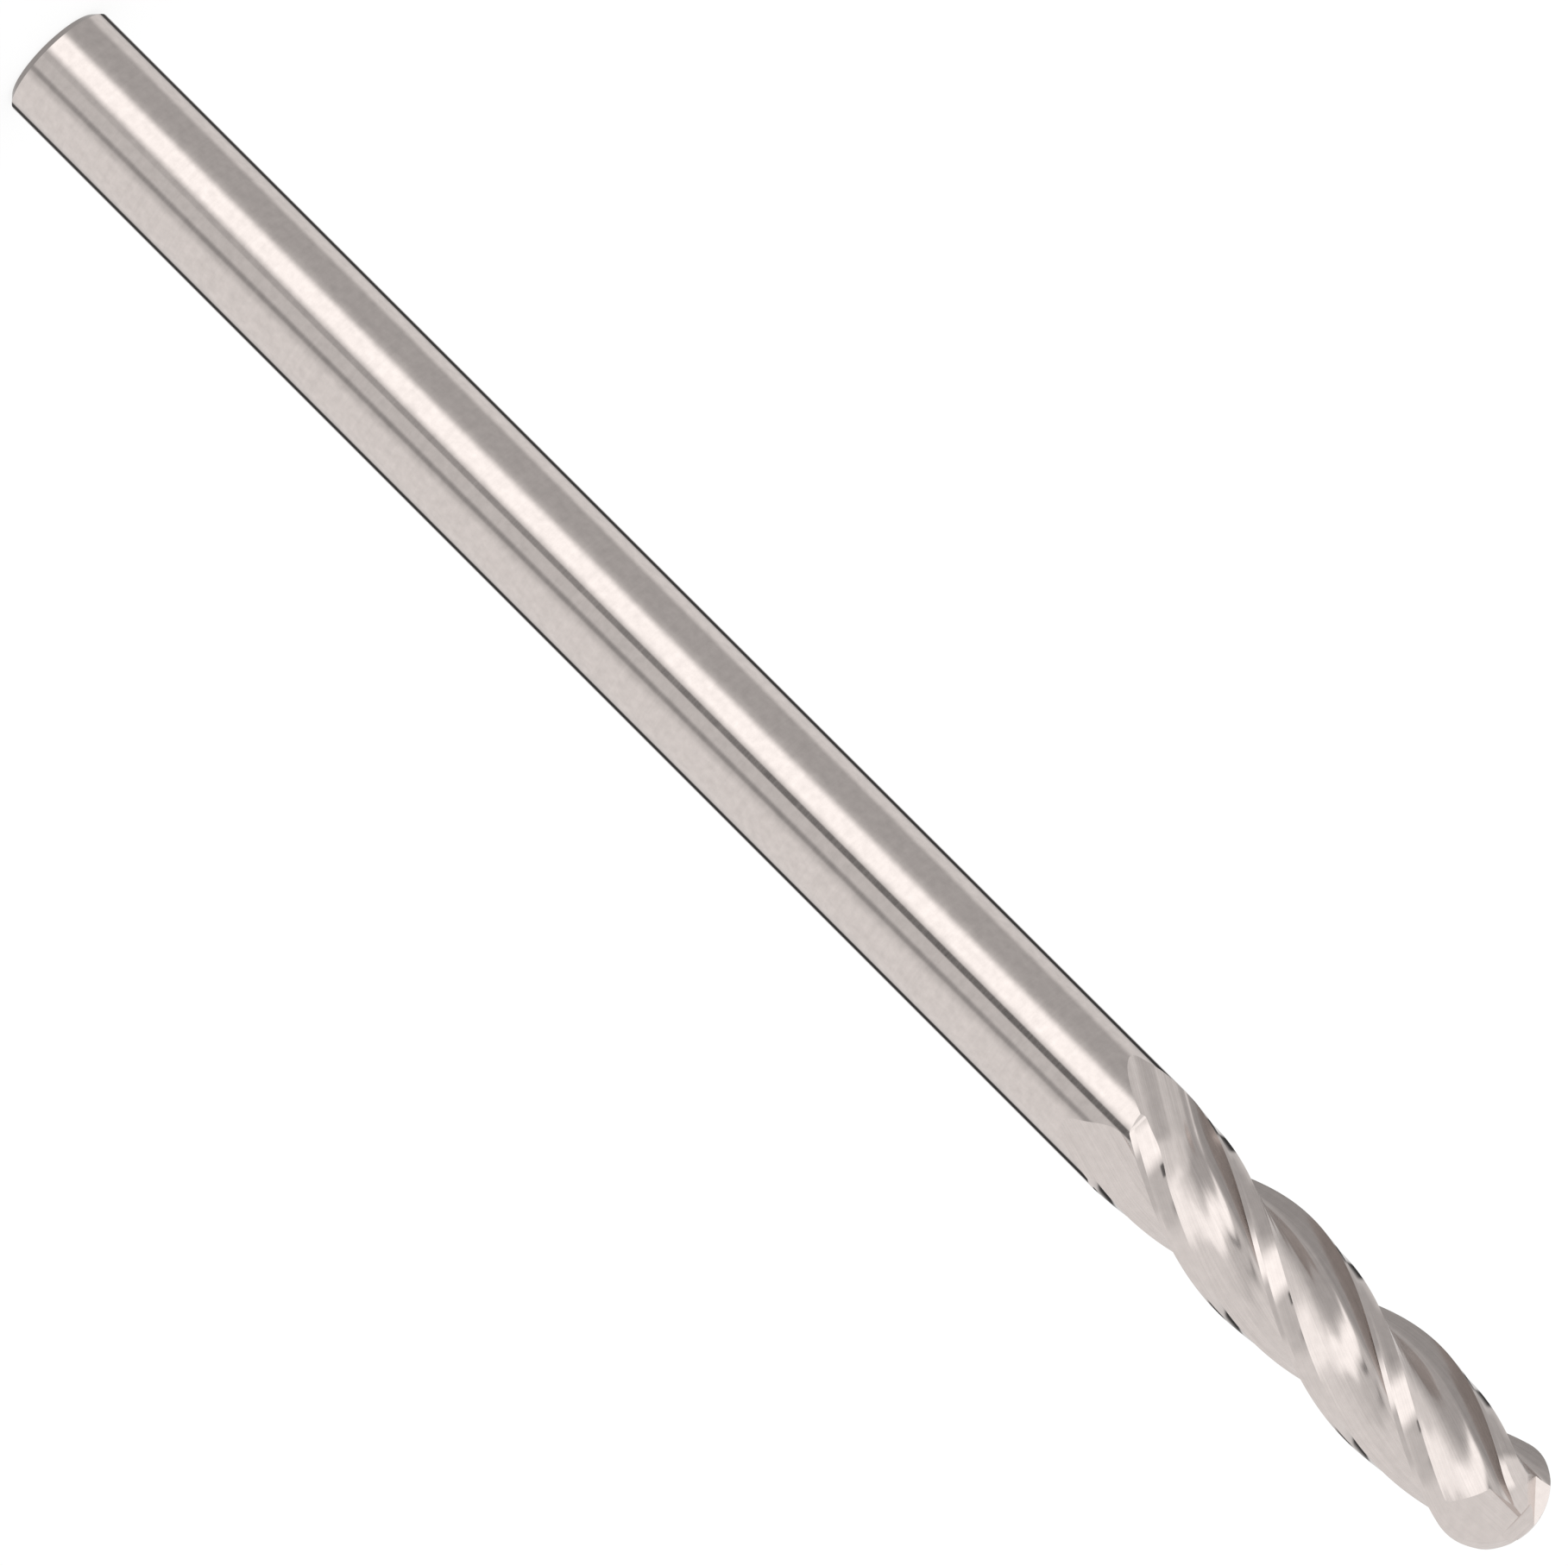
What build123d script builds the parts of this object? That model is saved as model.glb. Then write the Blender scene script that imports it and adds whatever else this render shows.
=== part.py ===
"""A long-reach ball-nose end mill: four right-hand flutes ground into one round carbide rod.

The frame stands the tool on its shank end: the origin is the centre of the shank's end face, and +Z runs
along the axis to the ball nose. Lengths are millimetres and angles are degrees. A "distance" is always
measured back from the tip. The tool is ground from one rod, so its two nodes are zones of one piece that
meet on a flat face: the plain shank, and the cutting end with the flutes.
"""

from build123d import *
from math import atan, cos, pi, radians, sin, sqrt, tan
import os

# Driving dimensions
CUTTING_DIAMETER = 9.525
OVERALL_LENGTH = 152.4
FLUTE_COUNT = 4
HELIX_ANGLE = 30.0
SHANK_CHAMFER = 0.5
CUTTING_END_LENGTH = 4.9 * CUTTING_DIAMETER

RADIUS = CUTTING_DIAMETER / 2
SPLIT_HEIGHT = OVERALL_LENGTH - CUTTING_END_LENGTH
TOOTH_PITCH = 360.0 / FLUTE_COUNT
LEAD = pi * CUTTING_DIAMETER / tan(radians(HELIX_ANGLE))
TURN_PER_MM = 360.0 / LEAD
SECTION_STEP = 15.0 / TURN_PER_MM

# The edges follow the helix down the cylinder and straighten over the last part of the ball
EDGE_EASE = 0.38 * CUTTING_DIAMETER
EDGE_ANGLE_AT_TIP = -6.0

# Flute section in cutting radii: the cutting edge is at (1, 0) and the flute lies ahead of it
FLUTE_SECTION = [
    (1.30, 0.042),
    (1.0, 0.0),
    (0.84, -0.012),
    (0.72, 0.02),
    (0.64, 0.09),
    (0.59, 0.20),
    (0.545, 0.35),
    (0.49, 0.53),
    (0.42, 0.715),
    (0.35, 0.885),
    (0.305, 1.03),
    (0.265, 1.17),
    (0.215, 1.30),
    (0.16, 1.45),
]
FLUTE_CLOSING = [(0.9, 1.75), (1.9, 1.0)]

# Flute run-out: the section climbs out along its floor's normal, and its turn gives way to a straight drift
CLIMB_START = 3.765 * CUTTING_DIAMETER
TURN_END = 3.87 * CUTTING_DIAMETER
RUN_OUT_EASE = 0.12 * CUTTING_DIAMETER
RUN_OUT_END = 4.74 * CUTTING_DIAMETER
RUN_OUT_SECTIONS = 12
RUN_OUT_CLIMB = 13.24
FLOOR_NORMAL = 18.0

# Relief ground behind each edge: a narrow primary land and a wider, steeper secondary land
PRIMARY_RELIEF = 12.0
SECONDARY_RELIEF = 22.5
PRIMARY_LAND = 0.088 * RADIUS
BALL_PRIMARY_LAND = 0.17 * RADIUS
EDGE_SETBACK = 0.003 * RADIUS
LAND_END = 4.15 * CUTTING_DIAMETER
LAND_EXIT_STEP = 0.03 * CUTTING_DIAMETER
LAND_EXIT_RISE = 0.018 * RADIUS

# Gashes open the ball: two long teeth reach the centre and two short teeth stop beside it
GASH_RAKE_DRAFT = 14.0
GASH_FLOOR_DRAFT = 5.0
LONG_GASH_ANGLE = 47.0
LONG_GASH_OFFSET = 0.04 * CUTTING_DIAMETER
LONG_RAKE_OFFSET = 0.01 * CUTTING_DIAMETER
SHORT_GASH_ANGLE = 28.0
SHORT_GASH_OFFSET = 0.108 * CUTTING_DIAMETER
SHORT_RAKE_OFFSET = -0.006 * CUTTING_DIAMETER
NOTCH_RADIUS = 0.194 * CUTTING_DIAMETER
NOTCH_OFFSET = 0.188 * CUTTING_DIAMETER
NOTCH_RISE = 0.086 * CUTTING_DIAMETER
NOTCH_LENGTH = 0.35 * CUTTING_DIAMETER


def turned(x, y, angle):
    c, s = cos(radians(angle)), sin(radians(angle))
    return x * c - y * s, x * s + y * c


def edge_angle(distance):
    """Angle of the first tooth's edge about the axis."""
    if distance > EDGE_EASE:
        return EDGE_ANGLE_AT_TIP + TURN_PER_MM * (EDGE_EASE / 2 - distance)
    return EDGE_ANGLE_AT_TIP - TURN_PER_MM * max(distance, 0.0) ** 2 / (2 * EDGE_EASE)


def placed(x, y, distance):
    """A point of the first tooth's own cross-section, in the tool frame."""
    x, y = turned(x, y, edge_angle(distance))
    return Vector(x, y, OVERALL_LENGTH - distance)


def eased_past(distance, start):
    """The length past a start, with a smooth beginning."""
    past = distance - start
    if past < -RUN_OUT_EASE:
        return 0.0
    return (past + RUN_OUT_EASE) ** 2 / (4 * RUN_OUT_EASE) if past < RUN_OUT_EASE else past


def flute_wire(distance):
    straight = eased_past(distance, TURN_END)
    angle = edge_angle(distance - straight)
    climb = eased_past(distance, CLIMB_START) * tan(radians(RUN_OUT_CLIMB))
    climb_x, climb_y = turned(climb, 0.0, FLOOR_NORMAL)
    drift_x, drift_y = turned(straight * tan(radians(HELIX_ANGLE)), 0.0, FLOOR_NORMAL - 90)
    points = []
    for x, y in FLUTE_SECTION + FLUTE_CLOSING:
        x, y = turned(RADIUS * x + climb_x + drift_x, RADIUS * y + climb_y + drift_y, angle)
        points.append(Vector(x, y, OVERALL_LENGTH - distance))
    last = len(FLUTE_SECTION)
    corners = points[last - 1 :] + points[:1]
    lines = [Edge.make_line(a, b) for a, b in zip(corners, corners[1:])]
    return Wire([Edge.make_spline(points[:last])] + lines)


def flute_cutter():
    distances = [share * EDGE_EASE for share in (-0.4, 0.0, 0.35, 0.7, 1.0)]
    first = CLIMB_START - RUN_OUT_EASE
    while distances[-1] + SECTION_STEP < first:
        distances.append(distances[-1] + SECTION_STEP)
    step = (RUN_OUT_END - first) / RUN_OUT_SECTIONS
    distances += [first + step * k for k in range(RUN_OUT_SECTIONS + 1)]
    return Solid.make_loft([flute_wire(distance) for distance in distances])


def relief_wire(distance, rise=0.0):
    """The relief cutter at one height: the two lands, closed outside the rod.

    On the ball the lands steepen in this level section, so the relief square to the surface stays the same.
    """
    scale, land = RADIUS, PRIMARY_LAND
    if distance < RADIUS:
        scale = sqrt(RADIUS**2 - (RADIUS - distance) ** 2)
        land += (BALL_PRIMARY_LAND - PRIMARY_LAND) * (1 - (distance / RADIUS) ** 2)
    first = atan(tan(radians(PRIMARY_RELIEF)) * RADIUS / scale)
    second = atan(tan(radians(SECONDARY_RELIEF)) * RADIUS / scale)
    lead = 0.1 * RADIUS
    edge = scale - EDGE_SETBACK + rise
    crease = edge - land * tan(first)
    section = [
        (edge + lead * sin(first), lead * cos(first)),
        (crease, -land),
        (crease - 0.75 * RADIUS * sin(second), -land - 0.75 * RADIUS * cos(second)),
        turned(1.5 * RADIUS, 0.0, -62),
        turned(1.5 * RADIUS, 0.0, -25),
        turned(1.5 * RADIUS, 0.0, 6),
    ]
    return Wire.make_polygon([placed(x, y, distance) for x, y in section])


def relief_cutter():
    polar_angles = [14, 20, 27, 36, 45, 54, 63, 72, 81, 90]
    distances = [RADIUS * (1 - cos(radians(angle))) for angle in polar_angles]
    while distances[-1] + SECTION_STEP < LAND_END - 0.1 * SECTION_STEP:
        distances.append(distances[-1] + SECTION_STEP)
    wires = [relief_wire(distance) for distance in distances + [LAND_END]]
    for k in (1, 2, 3):
        wires.append(relief_wire(LAND_END + k * LAND_EXIT_STEP, rise=k**2 * LAND_EXIT_RISE))
    return Solid.make_loft(wires)


def gash_cutter(angle, offset, rake_offset):
    """A wedge ahead of the tooth on +X, whose root line falls away from the tip at an angle to the axis."""
    size = 2 * CUTTING_DIAMETER
    lean = size * tan(radians(GASH_RAKE_DRAFT))
    drop = size * tan(radians(GASH_FLOOR_DRAFT))
    outline = Polyline((0, 0), (size, -drop), (size, size), (-lean, size), close=True)
    wedge = extrude(Plane.YZ * make_face(outline.edges()), amount=size, both=True)
    return Pos(offset, rake_offset, OVERALL_LENGTH) * Rot(0, 90 - angle, 0) * wedge


def notch_cutter():
    """A round-bottomed groove beside the centre that clears the inner end of the short tooth on +X."""
    groove = Rot(90, 0, 0) * Cylinder(NOTCH_RADIUS, NOTCH_LENGTH)
    return Pos(NOTCH_OFFSET, 0, OVERALL_LENGTH + NOTCH_RISE) * groove


def shank_blank():
    corners = [(0, 0), (RADIUS - SHANK_CHAMFER, 0), (RADIUS, SHANK_CHAMFER), (RADIUS, SPLIT_HEIGHT)]
    profile = Polyline(*corners, (0, SPLIT_HEIGHT), close=True)
    return revolve(Plane.XZ * make_face(profile.edges()), Axis.Z)


def cutting_end_blank():
    """The rod from the split to the ball; its side is a spline, so only the shank offers a clamping cylinder."""
    corner = OVERALL_LENGTH - RADIUS
    split = Line((0, SPLIT_HEIGHT), (RADIUS, SPLIT_HEIGHT))
    side = Spline((RADIUS, SPLIT_HEIGHT), (RADIUS, (SPLIT_HEIGHT + corner) / 2), (RADIUS, corner))
    nose = CenterArc((0, corner), RADIUS, 0, 90)
    axis = Line((0, OVERALL_LENGTH), (0, SPLIT_HEIGHT))
    return revolve(Plane.XZ * make_face(split.edges() + side.edges() + nose.edges() + axis.edges()), Axis.Z)


def build():
    cutting_end = cutting_end_blank()
    flute, relief = flute_cutter(), relief_cutter()
    long_gash = gash_cutter(LONG_GASH_ANGLE, LONG_GASH_OFFSET, LONG_RAKE_OFFSET)
    short_gash = gash_cutter(SHORT_GASH_ANGLE, SHORT_GASH_OFFSET, SHORT_RAKE_OFFSET)
    turns = [Rot(0, 0, TOOTH_PITCH * tooth) for tooth in range(FLUTE_COUNT)]
    for turn in turns:
        cutting_end = cutting_end - turn * flute
        cutting_end = cutting_end - turn * relief
    for turn in turns[0::2]:
        cutting_end = cutting_end - turn * long_gash
    for turn in turns[1::2]:
        cutting_end = cutting_end - turn * short_gash
        cutting_end = cutting_end - turn * notch_cutter()
    return {"shank": shank_blank(), "cutting_end": cutting_end}


os.makedirs("parts", exist_ok=True)
for node, shape in build().items():
    export_step(shape, f"parts/{node}.step")
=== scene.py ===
"""Ball-nose end mill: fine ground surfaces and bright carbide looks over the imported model.

Shapes are worked out in millimetres in the tool frame (+Z to the ball nose) and scaled to metres at the end.
A "distance" is measured back from the tip. Every ground surface also carries smooth normals and a pair of
grinding coordinates: across its lines and along them in millimetres, or height and angle on a round surface.
"""

import math

import bmesh
import bpy
import numpy as np
from mathutils import Matrix, Vector
from mathutils.bvhtree import BVHTree


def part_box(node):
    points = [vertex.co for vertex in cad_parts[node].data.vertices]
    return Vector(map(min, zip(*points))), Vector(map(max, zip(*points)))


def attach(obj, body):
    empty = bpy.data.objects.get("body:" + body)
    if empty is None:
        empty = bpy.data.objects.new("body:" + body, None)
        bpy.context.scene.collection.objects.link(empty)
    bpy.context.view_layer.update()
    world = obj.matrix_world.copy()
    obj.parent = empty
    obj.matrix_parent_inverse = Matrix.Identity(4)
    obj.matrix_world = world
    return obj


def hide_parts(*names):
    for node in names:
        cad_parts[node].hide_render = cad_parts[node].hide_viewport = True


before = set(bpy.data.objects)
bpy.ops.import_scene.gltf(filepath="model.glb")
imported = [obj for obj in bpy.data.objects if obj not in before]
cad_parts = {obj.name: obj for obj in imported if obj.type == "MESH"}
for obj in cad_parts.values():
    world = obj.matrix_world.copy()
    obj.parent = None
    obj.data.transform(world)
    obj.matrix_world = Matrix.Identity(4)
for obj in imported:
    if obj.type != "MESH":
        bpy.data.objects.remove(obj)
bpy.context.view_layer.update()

# Driving dimensions, in mm and degrees; the shank's size comes from the frame
MM = 1000.0
SHANK_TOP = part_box("shank")[1].z * MM
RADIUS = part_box("shank")[1].x * MM
DIAMETER = 2 * RADIUS
CUTTING_END_LENGTH = 4.9 * DIAMETER
TIP = SHANK_TOP + CUTTING_END_LENGTH
SHANK_CHAMFER = 0.5

# The ground form, with the same proportions as the CAD solids
FLUTES = 4
HELIX_ANGLE = 30.0
LEAD = math.pi * DIAMETER / math.tan(math.radians(HELIX_ANGLE))
TURN_PER_MM = 360 / LEAD
EDGE_EASE = 0.38 * DIAMETER
EDGE_ANGLE_AT_TIP = -6.0

# Flute section in cutting radii: the cutting edge is at (1, 0) and the flute lies ahead of it
FLUTE_SECTION = [
    (1.30, 0.042),
    (1.0, 0.0),
    (0.84, -0.012),
    (0.72, 0.02),
    (0.64, 0.09),
    (0.59, 0.20),
    (0.545, 0.35),
    (0.49, 0.53),
    (0.42, 0.715),
    (0.35, 0.885),
    (0.305, 1.03),
    (0.265, 1.17),
    (0.215, 1.30),
    (0.16, 1.45),
]
FLUTE_CLOSING = [(0.9, 1.75), (1.9, 1.0)]

# Run-out: the section climbs out along its floor's normal, and its turn gives way to a straight drift
CLIMB_START = 3.765 * DIAMETER
TURN_END = 3.87 * DIAMETER
RUN_OUT_EASE = 0.12 * DIAMETER
RUN_OUT_END = 4.74 * DIAMETER
RUN_OUT_CLIMB = 13.24
FLOOR_NORMAL = 18.0

# Relief: a narrow primary land and a steeper secondary land behind each edge
PRIMARY_RELIEF = 12.0
SECONDARY_RELIEF = 22.5
PRIMARY_LAND = 0.088 * RADIUS
BALL_PRIMARY_LAND = 0.17 * RADIUS
EDGE_SETBACK = 0.003 * RADIUS
LAND_END = 4.15 * DIAMETER
LAND_EXIT_STEP = 0.03 * DIAMETER
LAND_EXIT_RISE = 0.018 * RADIUS

# Gashes open the ball; each is its root line's angle to the axis, its offset, and its rake face's offset
GASH_RAKE_DRAFT = 14.0
GASH_FLOOR_DRAFT = 5.0
LONG_GASH = (47.0, 0.04 * DIAMETER, 0.01 * DIAMETER)
SHORT_GASH = (28.0, 0.108 * DIAMETER, -0.006 * DIAMETER)
NOTCH_RADIUS = 0.194 * DIAMETER
NOTCH_OFFSET = 0.188 * DIAMETER
NOTCH_RISE = 0.086 * DIAMETER
NOTCH_LENGTH = 0.35 * DIAMETER

# Mesh fineness: steps in mm, and counts of points, sections and pieces of a side
SHANK_STEP = 2.5
ROD_STEP = 1.2
SECTION_STEP = 0.22
RUN_OUT_STEP = 0.15
AROUND = 288
BALL_SECTIONS = 60
CURVE_POINTS = 72
RELIEF_BALL_SECTIONS = 58
LAND_EXIT_SECTIONS = 12
PRIMARY_PIECES = 5
SECONDARY_PIECES = 14
RELIEF_SIDES = [PRIMARY_PIECES, SECONDARY_PIECES, 3, 3, 3, 3]
NOTCH_AROUND = 180
NOTCH_SECTIONS = 12
WELD = 2e-4

# A surface's normal is dropped for the face's own where the cosine between them is below this
TRUSTED_COSINE = 0.8
# The strips' coordinates lie this many mm apart, so that no two teeth share a grain
STRIP_GAP = 137.0

# The surface each face was ground by, which is also its material slot; WASTE is a cutter's other sides
BODY, BALL, CHAMFER, END, FLUTE, PRIMARY, SECONDARY, GASH, NOTCH, WASTE = range(10)


def turned(x, y, angle):
    c, s = np.cos(np.radians(angle)), np.sin(np.radians(angle))
    return x * c - y * s, x * s + y * c


def edge_angle(distance):
    """Angle of the first tooth's edge about the axis."""
    if distance > EDGE_EASE:
        return EDGE_ANGLE_AT_TIP + TURN_PER_MM * (EDGE_EASE / 2 - distance)
    return EDGE_ANGLE_AT_TIP - TURN_PER_MM * max(distance, 0.0) ** 2 / (2 * EDGE_EASE)


def level(points, angle, distance):
    """Cross-section points turned about the axis and set at a distance from the tip."""
    points = np.asarray(points, float)
    x, y = turned(points[:, 0], points[:, 1], angle)
    return np.column_stack([x, y, np.full(len(x), TIP - distance)])


def spline(points, count):
    """A natural cubic spline through the points, evenly sampled by chord length."""
    points = np.asarray(points, float)
    gaps = np.linalg.norm(np.diff(points, axis=0), axis=1)
    knots = np.concatenate([[0], np.cumsum(gaps)])
    n = len(points)
    a, b = np.eye(n), np.zeros((n, 2))
    for i in range(1, n - 1):
        a[i, i - 1], a[i, i], a[i, i + 1] = gaps[i - 1], 2 * (gaps[i - 1] + gaps[i]), gaps[i]
        b[i] = 6 * ((points[i + 1] - points[i]) / gaps[i] - (points[i] - points[i - 1]) / gaps[i - 1])
    bend = np.linalg.solve(a, b)
    t = np.linspace(0, knots[-1], count)
    i = np.clip(np.searchsorted(knots, t) - 1, 0, n - 2)
    h, u, v = gaps[i][:, None], (knots[i + 1] - t)[:, None], (t - knots[i])[:, None]
    bending = (bend[i] * u**3 + bend[i + 1] * v**3) / (6 * h)
    return bending + (points[i] / h - bend[i] * h / 6) * u + (points[i + 1] / h - bend[i + 1] * h / 6) * v


def spread(start, stop, step):
    """Evenly spaced values from start to stop, about a step apart."""
    return list(np.linspace(start, stop, max(2, int(round((stop - start) / step)) + 1)))


def divided(corners, counts):
    """A closed polygon's points, with each side cut into that many pieces."""
    points = []
    for a, b, count in zip(corners, corners[1:] + corners[:1], counts):
        a, b = np.asarray(a, float), np.asarray(b, float)
        points += [a + (b - a) * k / count for k in range(count)]
    return np.array(points)


def eased_past(distance, start):
    """The length past a start, with a smooth beginning."""
    past = distance - start
    if past < -RUN_OUT_EASE:
        return 0.0
    return (past + RUN_OUT_EASE) ** 2 / (4 * RUN_OUT_EASE) if past < RUN_OUT_EASE else past


def flute_rows():
    """The first tooth's flute cutter as a stack of sections, and the tag of each of its columns."""
    curve = spline(FLUTE_SECTION, CURVE_POINTS)
    corners = [tuple(curve[-1])] + FLUTE_CLOSING + [tuple(curve[0])]
    closing = divided(corners, [4, 4, 4, 1])[1:-1]  # without the curve's own two ends
    section = RADIUS * np.vstack([curve, closing])
    first = CLIMB_START - RUN_OUT_EASE
    distances = spread(-0.4 * EDGE_EASE, first, SECTION_STEP) + spread(first, RUN_OUT_END, RUN_OUT_STEP)[1:]
    rows = []
    for distance in distances:
        straight = eased_past(distance, TURN_END)
        climb = eased_past(distance, CLIMB_START) * math.tan(math.radians(RUN_OUT_CLIMB))
        drift = straight * math.tan(math.radians(HELIX_ANGLE))
        move = np.add(turned(climb, 0, FLOOR_NORMAL), turned(drift, 0, FLOOR_NORMAL - 90))
        rows.append(level(section + move, edge_angle(distance - straight), distance))
    tags = [FLUTE] * (CURVE_POINTS - 1) + [WASTE] * (len(section) - CURVE_POINTS + 1)
    return np.array(rows), tags


def relief_section(distance, rise):
    """The relief cutter at one height: the two lands, closed outside the rod."""
    scale, land = RADIUS, PRIMARY_LAND
    if distance < RADIUS:
        scale = math.sqrt(RADIUS**2 - (RADIUS - distance) ** 2)
        land += (BALL_PRIMARY_LAND - PRIMARY_LAND) * (1 - (distance / RADIUS) ** 2)
    first = math.atan(math.tan(math.radians(PRIMARY_RELIEF)) * RADIUS / scale)
    second = math.atan(math.tan(math.radians(SECONDARY_RELIEF)) * RADIUS / scale)
    lead, reach, outside = 0.1 * RADIUS, 0.75 * RADIUS, 1.5 * RADIUS
    edge = scale - EDGE_SETBACK + rise
    crease = edge - land * math.tan(first)
    corners = [
        (edge + lead * math.sin(first), lead * math.cos(first)),
        (crease, -land),
        (crease - reach * math.sin(second), -land - reach * math.cos(second)),
        turned(outside, 0.0, -62),
        turned(outside, 0.0, -25),
        turned(outside, 0.0, 6),
    ]
    return divided(corners, RELIEF_SIDES)


def relief_rows():
    """The first tooth's relief cutter as a stack of sections, and the tag of each of its columns."""
    polar_angles = np.linspace(14, 90, RELIEF_BALL_SECTIONS)
    on_ball = [RADIUS * (1 - math.cos(math.radians(angle))) for angle in polar_angles]
    distances = on_ball + spread(RADIUS, LAND_END, SECTION_STEP)[1:]
    rows = [level(relief_section(d, 0.0), edge_angle(d), d) for d in distances]
    for k in np.linspace(0.25, 3, LAND_EXIT_SECTIONS):
        distance = LAND_END + k * LAND_EXIT_STEP
        rows.append(level(relief_section(distance, k**2 * LAND_EXIT_RISE), edge_angle(distance), distance))
    tags = [PRIMARY] * PRIMARY_PIECES + [SECONDARY] * SECONDARY_PIECES
    return np.array(rows), tags + [WASTE] * sum(RELIEF_SIDES[2:])


def turned_rows(profile):
    """A solid of revolution as rows round the axis, from (radius, height) pairs."""
    angles = np.linspace(0, 2 * math.pi, AROUND, endpoint=False)
    c, s = np.cos(angles), np.sin(angles)
    return np.array([np.column_stack([r * c, r * s, np.full(AROUND, z)]) for r, z in profile])


def closed_mesh(name, rows, column_tags=None, row_tags=None, caps=(WASTE, WASTE)):
    """Stacked closed sections joined into one closed mesh, with a tag on every face."""
    count, width = rows.shape[:2]
    faces, tags = [], []
    for i in range(count - 1):
        for j in range(width):
            k = (j + 1) % width
            faces.append((i * width + j, i * width + k, (i + 1) * width + k, (i + 1) * width + j))
            tags.append(column_tags[j] if column_tags else row_tags[i])
    faces += [tuple(range(width - 1, -1, -1)), tuple((count - 1) * width + j for j in range(width))]
    return tagged_mesh(name, rows.reshape(-1, 3), faces, tags + list(caps))


def tagged_mesh(name, verts, faces, tags):
    mesh = bpy.data.meshes.new(name)
    mesh.from_pydata([tuple(v) for v in verts], [], faces)
    for material in surfaces:
        mesh.materials.append(material)
    mesh.polygons.foreach_set("material_index", tags)
    mesh.update()
    return outward(mesh)


def outward(mesh):
    """Turns the faces of a closed mesh to face out."""
    volume = 0.0
    for face in mesh.polygons:
        volume += face.center.dot(face.normal) * face.area
    if volume < 0:
        mesh.flip_normals()
    return mesh


class Strip:
    """One ground surface as a dense sheet, which gives normals and grinding coordinates to points near it."""

    def __init__(self, rows, across, along):
        count, width = rows.shape[:2]
        self.verts = rows.reshape(-1, 3)
        ds, dt = np.gradient(rows, axis=1), np.gradient(rows, axis=0)
        normals = np.cross(ds, dt).reshape(-1, 3)
        self.normals = normals / np.maximum(np.linalg.norm(normals, axis=1, keepdims=True), 1e-12)
        self.coords = np.stack([across, along], axis=-1).reshape(-1, 2)
        i, j = np.meshgrid(np.arange(count - 1), np.arange(width - 1), indexing="ij")
        a = (i * width + j).ravel()
        b, c, d = a + 1, a + width + 1, a + width
        self.tris = np.vstack([np.column_stack([a, b, c]), np.column_stack([a, c, d])])
        self.tree = BVHTree.FromPolygons([Vector(v) for v in self.verts], self.tris.tolist())

    def look_up(self, points):
        """For each point: its distance from the strip, the strip's normal and its grinding coordinates."""
        found = [self.tree.find_nearest(p) for p in points]
        hit = np.array([f[0] for f in found])
        corners = self.tris[[f[2] for f in found]]
        a, b, c = (self.verts[corners[:, k]] for k in range(3))
        v0, v1, v2 = b - a, c - a, hit - a
        d00, d01, d11 = (v0 * v0).sum(1), (v0 * v1).sum(1), (v1 * v1).sum(1)
        d20, d21 = (v2 * v0).sum(1), (v2 * v1).sum(1)
        scale = np.maximum(d00 * d11 - d01 * d01, 1e-18)
        w1, w2 = (d11 * d20 - d01 * d21) / scale, (d00 * d21 - d01 * d20) / scale
        weights = np.stack([1 - w1 - w2, w1, w2], axis=1)[..., None]
        normals = (self.normals[corners] * weights).sum(1)
        return np.array([f[3] for f in found]), normals, (self.coords[corners] * weights).sum(1)


def strip_from(rows, first, last):
    """The sheet of one surface's columns of a stack of sections, with path lengths as its coordinates."""
    sheet = rows[:, first : last + 1]
    across = np.zeros(sheet.shape[:2])
    across[:, 1:] = np.cumsum(np.linalg.norm(np.diff(sheet, axis=1), axis=2), axis=1)
    across = np.repeat(across.mean(0)[None], len(sheet), axis=0)
    along = np.zeros(sheet.shape[:2])
    along[1:] = np.cumsum(np.linalg.norm(np.diff(sheet, axis=0), axis=2), axis=0)
    return Strip(sheet, across, np.repeat(along.mean(1)[:, None], sheet.shape[1], axis=1))


def wedge(angle, offset, rake_offset):
    """A wedge ahead of the tooth on +X, whose root line falls away from the tip at an angle to the axis."""
    size = 2 * DIAMETER
    lean = size * math.tan(math.radians(GASH_RAKE_DRAFT))
    drop = size * math.tan(math.radians(GASH_FLOOR_DRAFT))
    outline = [(0, 0), (size, -drop), (size, size), (-lean, size)]
    place = Matrix.Translation((offset, rake_offset, TIP)) @ Matrix.Rotation(math.radians(90 - angle), 4, "Y")
    rows = [[place @ Vector((x, y, z)) for y, z in outline] for x in (-size, size)]
    return np.array(rows, float)


def notch_rows():
    """A round groove across +X, which clears the inner end of a short tooth."""
    angles = np.linspace(0, 2 * math.pi, NOTCH_AROUND, endpoint=False)
    rows = []
    for y in np.linspace(-NOTCH_LENGTH / 2, NOTCH_LENGTH / 2, NOTCH_SECTIONS):
        x = NOTCH_OFFSET + NOTCH_RADIUS * np.cos(angles)
        z = TIP + NOTCH_RISE + NOTCH_RADIUS * np.sin(angles)
        rows.append(np.column_stack([x, np.full(len(x), y), z]))
    return np.array(rows)


def turn_rows(rows, tooth):
    x, y = turned(rows[..., 0], rows[..., 1], 360 / FLUTES * tooth)
    return np.stack([x, y, rows[..., 2]], axis=-1)


def linked(name, mesh):
    obj = bpy.data.objects.new(name, mesh)
    bpy.context.scene.collection.objects.link(obj)
    return obj


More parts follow.
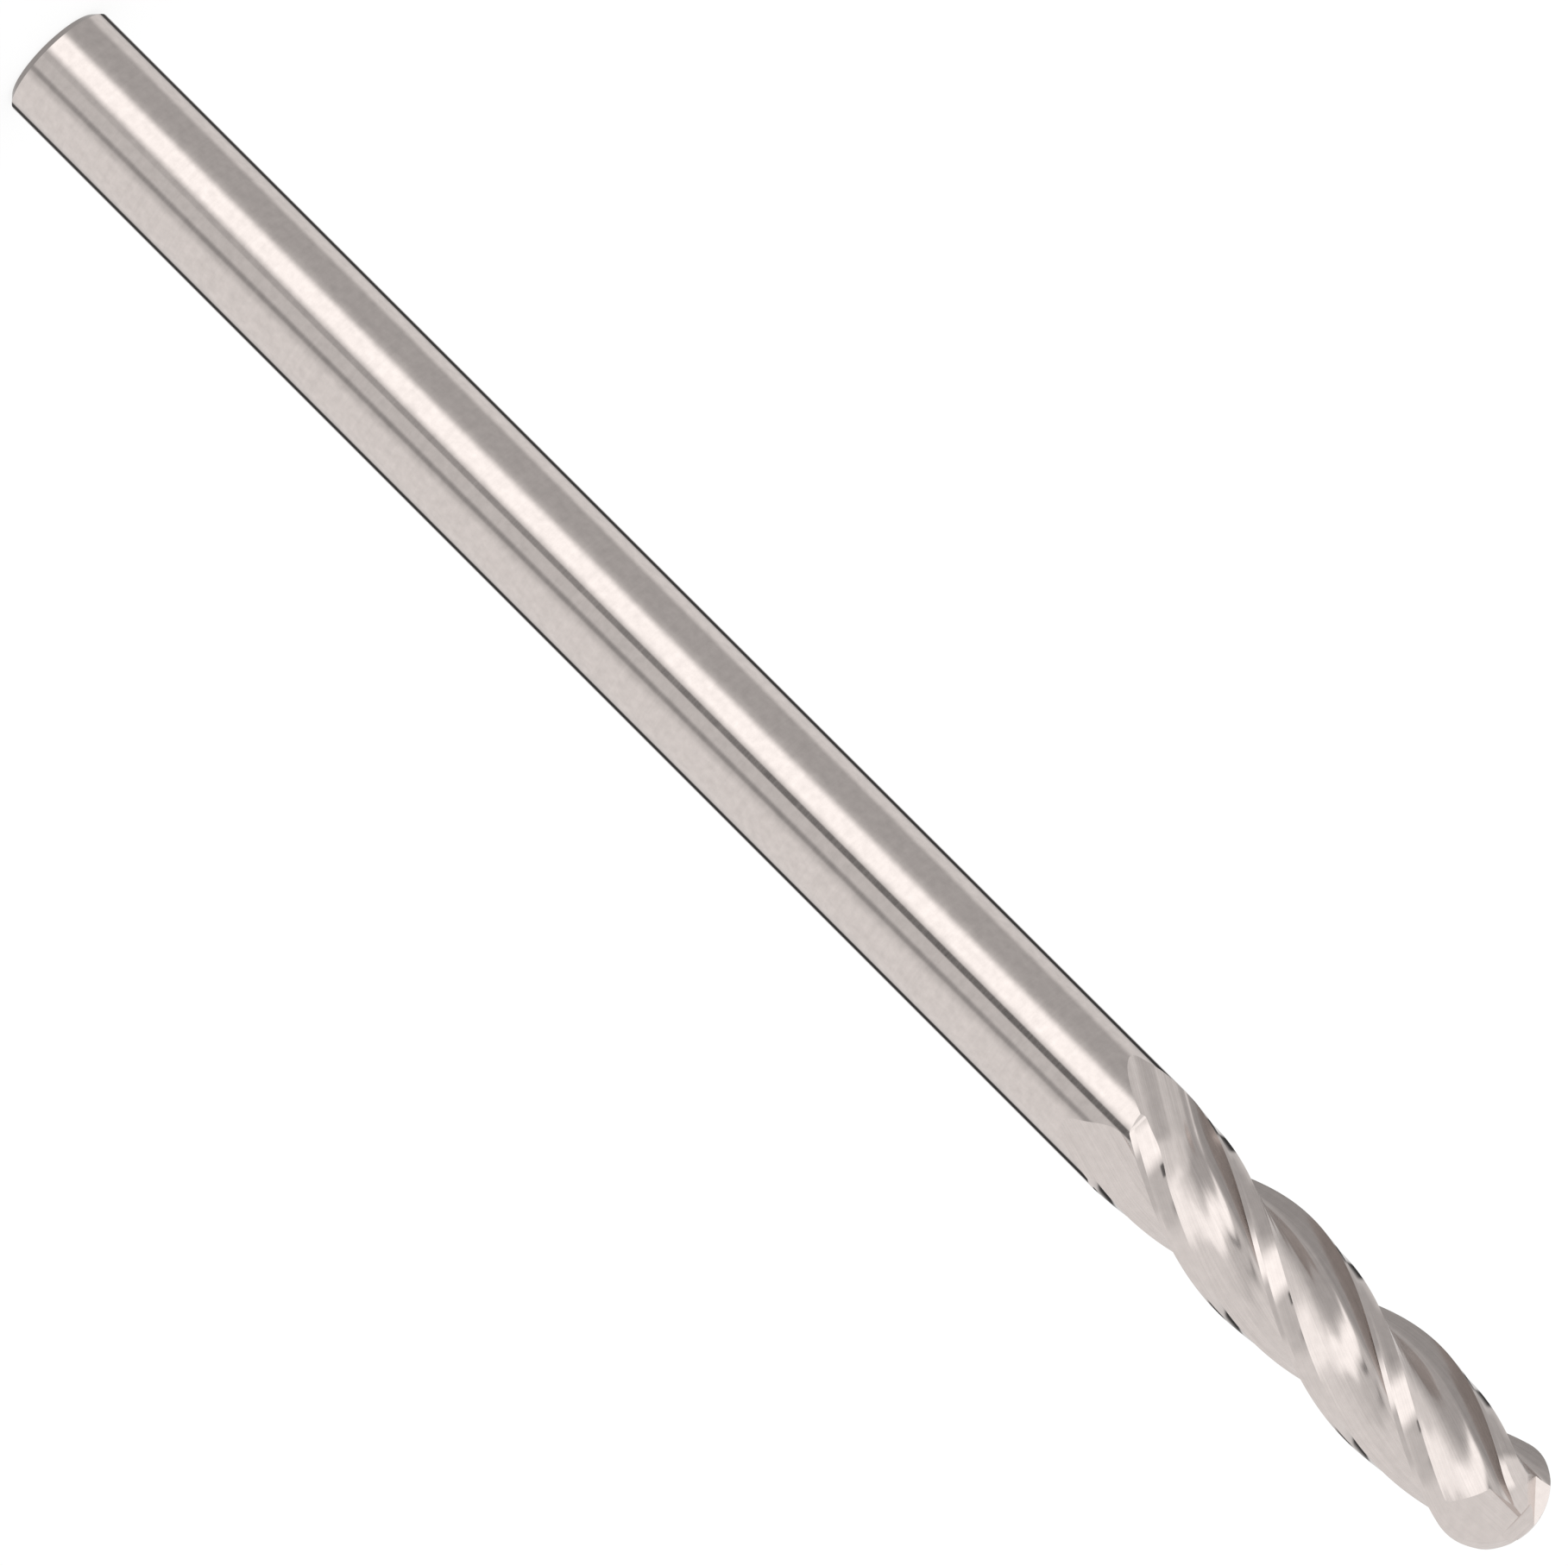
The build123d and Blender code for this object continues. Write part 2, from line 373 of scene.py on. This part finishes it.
def cut(mesh, cutters):
    """The mesh less every cutter."""
    body = linked("blank", mesh)
    tools = [linked("cutter", cutter) for cutter in cutters]
    for tool in tools:
        step = body.modifiers.new("cut", "BOOLEAN")
        step.operation, step.solver, step.object, step.material_mode = "DIFFERENCE", "MANIFOLD", tool, "INDEX"
    result = bpy.data.meshes.new_from_object(body.evaluated_get(bpy.context.evaluated_depsgraph_get()))
    for obj in [body] + tools:
        bpy.data.objects.remove(obj)
    return result


def numbers(items, attribute, width=1, kind=float):
    """One attribute of all of a mesh's items, with a row for each item."""
    flat = np.zeros(len(items) * width, kind)
    items.foreach_get(attribute, flat)
    return flat.reshape(-1, width)


def finished(name, mesh, finders):
    """The piece in metres, with each corner's normal and coordinates taken from its own ground surface."""
    work = bmesh.new()
    work.from_mesh(mesh)
    bmesh.ops.remove_doubles(work, verts=work.verts, dist=WELD)
    bmesh.ops.dissolve_degenerate(work, edges=work.edges, dist=WELD)
    bmesh.ops.triangulate(work, faces=work.faces)
    work.to_mesh(mesh)
    work.free()
    mesh.update()
    points = numbers(mesh.vertices, "co", 3)
    corner_points = points[numbers(mesh.loops, "vertex_index", kind=int)[:, 0]]
    corner_tags = np.repeat(numbers(mesh.polygons, "material_index", kind=int)[:, 0], 3)
    corner_faces = np.repeat(numbers(mesh.polygons, "normal", 3), 3, axis=0)
    normals, coords = corner_faces.copy(), np.zeros((len(corner_points), 2))
    for tag, finder in finders.items():
        rows = np.flatnonzero(corner_tags == tag)
        if len(rows):
            faces = corner_faces[rows]
            found, coords[rows] = finder(corner_points[rows], faces)
            found *= np.where((found * faces).sum(1, keepdims=True) < 0, -1, 1)
            stray = (found * faces).sum(1) < TRUSTED_COSINE
            found[stray] = faces[stray]
            normals[rows] = found
    normals /= np.linalg.norm(normals, axis=1, keepdims=True)
    layer = mesh.uv_layers.new(name="grind")
    layer.uv.foreach_set("vector", coords.ravel())
    mesh.vertices.foreach_set("co", (points / MM).ravel())
    mesh.polygons.foreach_set("use_smooth", [True] * len(mesh.polygons))
    mesh.update()
    mesh.normals_split_custom_set([tuple(n) for n in normals])
    piece = linked(name, mesh)
    piece.data.name = name
    return piece


def near_strips(strips):
    """A finder that takes each point's normal and coordinates from the nearest of several strips."""

    def find(points, _):
        answers = [strip.look_up(points) for strip in strips]
        best = np.argmin([answer[0] for answer in answers], axis=0)
        pick = np.arange(len(points))
        normals = np.array([answer[1] for answer in answers])[best, pick]
        coords = np.array([answer[2] for answer in answers])[best, pick]
        return normals, coords + best[:, None] * STRIP_GAP

    return find


def round_the_axis(points, _):
    """Normals straight out from the axis; the coordinates are the height in mm and the angle in degrees."""
    normals = points * (1, 1, 0)
    normals /= np.maximum(np.linalg.norm(normals, axis=1, keepdims=True), 1e-9)
    return normals, np.column_stack([points[:, 2], np.degrees(np.arctan2(points[:, 1], points[:, 0]))])


def round_the_ball(points, _):
    centre = np.array([0, 0, TIP - RADIUS])
    _, coords = round_the_axis(points, None)
    return (points - centre) / RADIUS, coords


def on_shank_chamfer(points, _):
    out, coords = round_the_axis(points, None)
    return (out - (0, 0, 1)) / math.sqrt(2), coords


def on_end(points, face_normals):
    return face_normals.copy(), points[:, :2].copy()


def on_gash(points, face_normals):
    """Grinding lines of a flat gash run down its slope."""
    slope = np.cross(face_normals, (0, 0, 1.0))
    slope /= np.maximum(np.linalg.norm(slope, axis=1, keepdims=True), 1e-9)
    down = np.cross(face_normals, slope)
    return face_normals.copy(), np.column_stack([(points * slope).sum(1), (points * down).sum(1)])


class Graph:
    """A node tree that adds a node, its settings and its inputs in one call."""

    def __init__(self, tree):
        self.tree = tree
        tree.nodes.clear()

    def add(self, kind, inputs=None, **settings):
        node = self.tree.nodes.new(kind)
        for key, value in settings.items():
            setattr(node, key, value)
        for key, value in (inputs or {}).items():
            if isinstance(value, bpy.types.NodeSocket):
                self.tree.links.new(value, node.inputs[key])
            else:
                node.inputs[key].default_value = value
        return node

    def math(self, operation, a, b=0.0):
        return self.add("ShaderNodeMath", {0: a, 1: b}, operation=operation).outputs[0]

    def span(self, value, low, high, out_low=0.0, out_high=1.0, smooth=True):
        """The value's place between low and high, carried over to out_low and out_high."""
        kind = "SMOOTHSTEP" if smooth else "LINEAR"
        inputs = {0: value, 1: low, 2: high, 3: out_low, 4: out_high}
        return self.add("ShaderNodeMapRange", inputs, interpolation_type=kind).outputs[0]

    def ramp(self, value, stops):
        node = self.add("ShaderNodeValToRGB", {0: value})
        elements = node.color_ramp.elements
        for k, (place, colour) in enumerate(stops):
            element = elements[k] if k < 2 else elements.new(place)
            element.position, element.color = place, (*colour, 1.0)
        return node.outputs[0]

    def mix(self, factor, a, b):
        return self.add("ShaderNodeMix", {0: factor, 6: a, 7: b}, data_type="RGBA").outputs[2]


def carbide(
    name,
    roughness,
    grain,
    ridge,
    around=False,
    anisotropy=0.7,
    cloud=0.35,
    streak=0.14,
    wave=0.0,
):
    """Ground cemented carbide: this many grinding lines per mm, this high in mm, over a cloudy tint.

    Rings round the axis take their lines from height; every other surface has its own grinding coordinates.
    Cloud is the share of the tint that ignores the grain, streak is how far the tint darkens, and wave is the
    height in mm of long, low ripples down the surface.
    """
    material = bpy.data.materials.new(name)
    material.use_nodes = True
    g = Graph(material.node_tree)
    if around:
        # Object coordinates are in metres
        place = g.add("ShaderNodeTexCoord").outputs["Object"]
        fine_scale, broad_scale = (60, 60, 1000 * grain), (40, 40, 110 * grain)
        tangent = g.add("ShaderNodeTangent", direction_type="RADIAL", axis="Z").outputs[0]
        turn = 0.25
    else:
        # Grinding coordinates are in millimetres
        place = g.add("ShaderNodeUVMap", uv_map="grind").outputs[0]
        fine_scale, broad_scale = (grain, 0.02 * grain, 1), (0.16 * grain, 0.01 * grain, 1)
        tangent = g.add("ShaderNodeTangent", direction_type="UV_MAP", uv_map="grind").outputs[0]
        turn = 0.0

    def noise(scale, detail):
        at = g.add("ShaderNodeVectorMath", {0: place, 1: scale}, operation="MULTIPLY").outputs[0]
        inputs = {"Vector": at, "Scale": 1.0, "Detail": detail, "Roughness": 0.55}
        return g.add("ShaderNodeTexNoise", inputs).outputs[0]

    fine, broad = noise(fine_scale, 3.0), noise(broad_scale, 2.0)
    cloudy = g.add("ShaderNodeTexCoord").outputs["Object"]
    cloudy = g.add("ShaderNodeTexNoise", {"Vector": cloudy, "Scale": 1500.0, "Detail": 4.0}).outputs[0]
    lines = g.math("ADD", g.math("MULTIPLY", fine, 0.6), g.math("MULTIPLY", broad, 0.4))
    tint = g.math("ADD", g.math("MULTIPLY", lines, 1 - cloud), g.math("MULTIPLY", cloudy, cloud))
    tint = g.span(tint, 0.3, 0.7, smooth=False)
    dark = tuple((1 - streak) * c for c in WARM)
    light = tuple((1 + streak / 2) * c for c in WARM)
    base = g.ramp(tint, [(0.0, dark), (1.0, light)])
    rough = g.span(lines, 0.3, 0.7, 0.75 * roughness, 1.25 * roughness, smooth=False)
    bump = {"Height": lines, "Strength": 1.0, "Distance": ridge / MM}
    if wave:
        broad_wave = {"Height": noise((0.7, 0.012, 1), 1.0), "Strength": 1.0, "Distance": wave / MM}
        bump["Normal"] = g.add("ShaderNodeBump", broad_wave).outputs[0]
    bump = g.add("ShaderNodeBump", bump).outputs[0]
    shader = g.add(
        "ShaderNodeBsdfPrincipled",
        {
            "Base Color": base,
            "Metallic": 1.0,
            "Roughness": rough,
            "Anisotropic": anisotropy,
            "Anisotropic Rotation": turn,
            "Tangent": tangent,
            "Normal": bump,
        },
    )
    g.add("ShaderNodeOutputMaterial", {0: shader.outputs[0]})
    return material


# Bare carbide is a slightly warm grey
WARM = (0.72, 0.655, 0.625)
surfaces = [
    carbide("carbide_ground_rod", 0.085, 5.0, 0.0004, around=True, cloud=0.65, streak=0.12),
    carbide("carbide_ball_margin", 0.13, 8.0, 0.0005, around=True),
    carbide("carbide_chamfer", 0.16, 9.0, 0.0008, around=True),
    carbide("carbide_end_face", 0.22, 4.0, 0.0010, anisotropy=0.4),
    carbide("carbide_flute", 0.15, 8.0, 0.0016, cloud=0.25, streak=0.18, wave=0.12),
    carbide("carbide_primary_land", 0.06, 9.0, 0.0002),
    carbide("carbide_secondary_land", 0.06, 9.0, 0.0002),
    carbide("carbide_gash", 0.22, 12.0, 0.0006, cloud=0.4, streak=0.12),
    carbide("carbide_notch", 0.20, 8.0, 0.0006),
    carbide("carbide_step", 0.20, 8.0, 0.0004, around=True),
]


def shank_piece():
    """A turned profile with its chamfer, closed by two flat ends."""
    heights = spread(SHANK_CHAMFER, SHANK_TOP, SHANK_STEP)
    profile = [(RADIUS - SHANK_CHAMFER * (1 - k), SHANK_CHAMFER * k) for k in (0.0, 0.5)]
    profile += [(RADIUS, z) for z in heights]
    tags = [CHAMFER] * 2 + [BODY] * (len(heights) - 1)
    mesh = closed_mesh("shank", turned_rows(profile), row_tags=tags, caps=(END, END))
    return finished("end_mill_shank", mesh, {BODY: round_the_axis, CHAMFER: on_shank_chamfer, END: on_end})


def rod_blank():
    """The plain rod from the split to the end of the ball."""
    heights = spread(SHANK_TOP, TIP - RADIUS, ROD_STEP)
    polar = np.radians(np.linspace(1.5, 89.5, BALL_SECTIONS))
    profile = [(RADIUS, z) for z in heights]
    profile += [(RADIUS * math.cos(a), TIP - RADIUS + RADIUS * math.sin(a)) for a in polar]
    tags = [BODY] * (len(heights) - 1) + [BALL] * len(polar)
    return closed_mesh("blank", turned_rows(profile), row_tags=tags, caps=(END, BALL))


def cutting_end_piece():
    """The rod blank less each tooth's flute, relief lands and gash, and each short tooth's notch."""
    flute, flute_tags = flute_rows()
    relief, relief_tags = relief_rows()
    notch = notch_rows()
    notch_width = notch.shape[1]
    cutters = []
    strips = {FLUTE: [], PRIMARY: [], SECONDARY: [], NOTCH: []}
    for tooth in range(FLUTES):
        own_flute, own_relief = turn_rows(flute, tooth), turn_rows(relief, tooth)
        cutters.append(closed_mesh("flute", own_flute, column_tags=flute_tags))
        cutters.append(closed_mesh("relief", own_relief, column_tags=relief_tags))
        strips[FLUTE].append(strip_from(own_flute, 0, CURVE_POINTS - 1))
        strips[PRIMARY].append(strip_from(own_relief, 0, PRIMARY_PIECES))
        land_end = PRIMARY_PIECES + SECONDARY_PIECES
        strips[SECONDARY].append(strip_from(own_relief, PRIMARY_PIECES, land_end))
        own_gash = turn_rows(wedge(*(SHORT_GASH if tooth % 2 else LONG_GASH)), tooth)
        cutters.append(closed_mesh("gash", own_gash, column_tags=[GASH] * 4, caps=(GASH, GASH)))
        if tooth % 2:
            own_notch = turn_rows(notch, tooth)
            cutters.append(closed_mesh("notch", own_notch, [NOTCH] * notch_width, caps=(NOTCH, NOTCH)))
            strips[NOTCH].append(strip_from(np.hstack([own_notch, own_notch[:, :1]]), 0, notch_width))
    finders = {tag: near_strips(group) for tag, group in strips.items()}
    finders.update({BODY: round_the_axis, BALL: round_the_ball, END: on_end, GASH: on_gash})
    return finished("end_mill_cutting_end", cut(rod_blank(), cutters), finders)


def add_floor():
    """Pale paper that glows a little, to meet the white backdrop with no line; metal doesn't mirror it."""
    half = 60
    corners = [(-half, -half, 0), (half, -half, 0), (half, half, 0), (-half, half, 0)]
    mesh = bpy.data.meshes.new("floor")
    mesh.from_pydata(corners, [], [(0, 1, 2, 3)])
    material = bpy.data.materials.new("floor_paper")
    material.use_nodes = True
    paper = material.node_tree.nodes["Principled BSDF"].inputs
    paper["Base Color"].default_value = (0.16, 0.16, 0.16, 1)
    paper["Roughness"].default_value = 1.0
    paper["Specular IOR Level"].default_value = 0.0
    paper["Emission Color"].default_value = (1, 1, 1, 1)
    paper["Emission Strength"].default_value = 0.84
    mesh.materials.append(material)
    floor = linked("floor", mesh)
    floor.visible_glossy = False


def add_studio():
    """White all round for the floor and the backdrop, and soft cards for the metal to mirror.

    Azimuth is 0 towards the camera and grows towards -X. It and the height are in degrees.
    """
    world = bpy.data.worlds.new("studio")
    bpy.context.scene.world = world
    world.use_nodes = True
    g = Graph(world.node_tree)
    direction = g.add("ShaderNodeTexCoord").outputs["Generated"]
    x, y, z = g.add("ShaderNodeSeparateXYZ", {0: direction}).outputs
    azimuth = g.math("ARCTAN2", g.math("MULTIPLY", x, -1.0), g.math("MULTIPLY", y, -1.0))
    azimuth = g.math("DEGREES", azimuth)
    height = g.math("DEGREES", g.math("ARCSINE", z))

    def card(light, brightness, azimuths, heights, edge):
        """The light with one soft-edged card, or dark flag, hung between two azimuths and two heights."""
        mask = 1.0
        for value, (low, high), soft in ((azimuth, azimuths, edge), (height, heights, min(edge, 6))):
            mask = g.math("MULTIPLY", mask, g.span(value, low - soft, low + soft))
            mask = g.math("MULTIPLY", mask, g.span(value, high - soft, high + soft, 1.0, 0.0))
        return g.mix(mask, light, (brightness, brightness, brightness, 1))

    # The room is dim below and bright above
    below, above = (0.4, 0.4, 0.4, 1), (0.9, 0.9, 0.9, 1)
    cards = g.mix(g.span(height, -45.0, 15.0), below, above)
    # Seen from the camera: a bright wall on the right, and a grey one on the left
    cards = card(cards, 0.9, (-135, -55), (-30, 60), 10)
    cards = card(cards, 0.5, (50, 140), (-40, 5), 10)
    # A mid-grey card beside the key, the key, and the key's partner above it
    cards = card(cards, 0.7, (-50, 0), (-30, 8), 6)
    cards = card(cards, 1.4, (3, 40), (-25, 15), 8)
    cards = card(cards, 1.3, (15, 75), (12, 45), 8)
    # A low rim card on the left, and a narrow flag near the mid-grey card's outer edge
    cards = card(cards, 0.9, (105, 138), (-18, -9), 8)
    cards = card(cards, 0.35, (-46, -36), (-18, -9), 4)
    # A narrow dark flag beside the key, and a flag behind each side that edges the tool in dark
    cards = card(cards, 0.15, (-13, -2), (-14, -8), 1.5)
    for side in ((-163, -142), (142, 163)):
        cards = card(cards, 0.05, side, (-18, -6), 3)
    path = g.add("ShaderNodeLightPath")
    colour = g.mix(path.outputs["Is Glossy Ray"], (1, 1, 1, 1), cards)
    strength = g.math("ADD", 1.0, g.math("MULTIPLY", path.outputs["Is Diffuse Ray"], 0.12))
    background = g.add("ShaderNodeBackground", {0: colour, 1: strength})
    g.add("ShaderNodeOutputWorld", {0: background.outputs[0]})


def add_camera():
    """A long lens a little above the tool, rolled so that the tool lies across the picture's diagonal."""
    tilt, roll = math.radians(12.5), math.radians(44.96)
    distance, aim_from_tip, side_shift = 142.3 * DIAMETER, 8.009 * DIAMETER, 0.1
    back = Vector((0, -math.cos(tilt), math.sin(tilt)))
    along_tool = (Vector((0, 0, 1)) - back * back.z).normalized()
    across_tool = back.cross(along_tool)
    aim = Vector((0, 0, (TIP - aim_from_tip) / MM)) + across_tool * side_shift / MM
    right = math.cos(roll) * along_tool + math.sin(roll) * across_tool
    up = -math.sin(roll) * along_tool + math.cos(roll) * across_tool
    lens = bpy.data.cameras.new("camera")
    lens.sensor_width = 36
    lens.lens = 435.9
    lens.clip_start, lens.clip_end = 0.01, 100
    camera = linked("camera", lens)
    place = Matrix((right, up, back)).transposed().to_4x4()
    place.translation = aim + back * (distance / MM)
    camera.matrix_world = place
    bpy.context.scene.camera = camera


for piece, node in ((shank_piece(), "shank"), (cutting_end_piece(), "cutting_end")):
    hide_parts(node)
    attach(piece, "root")
add_floor()
add_studio()
add_camera()
bpy.context.scene.view_settings.view_transform = "Standard"
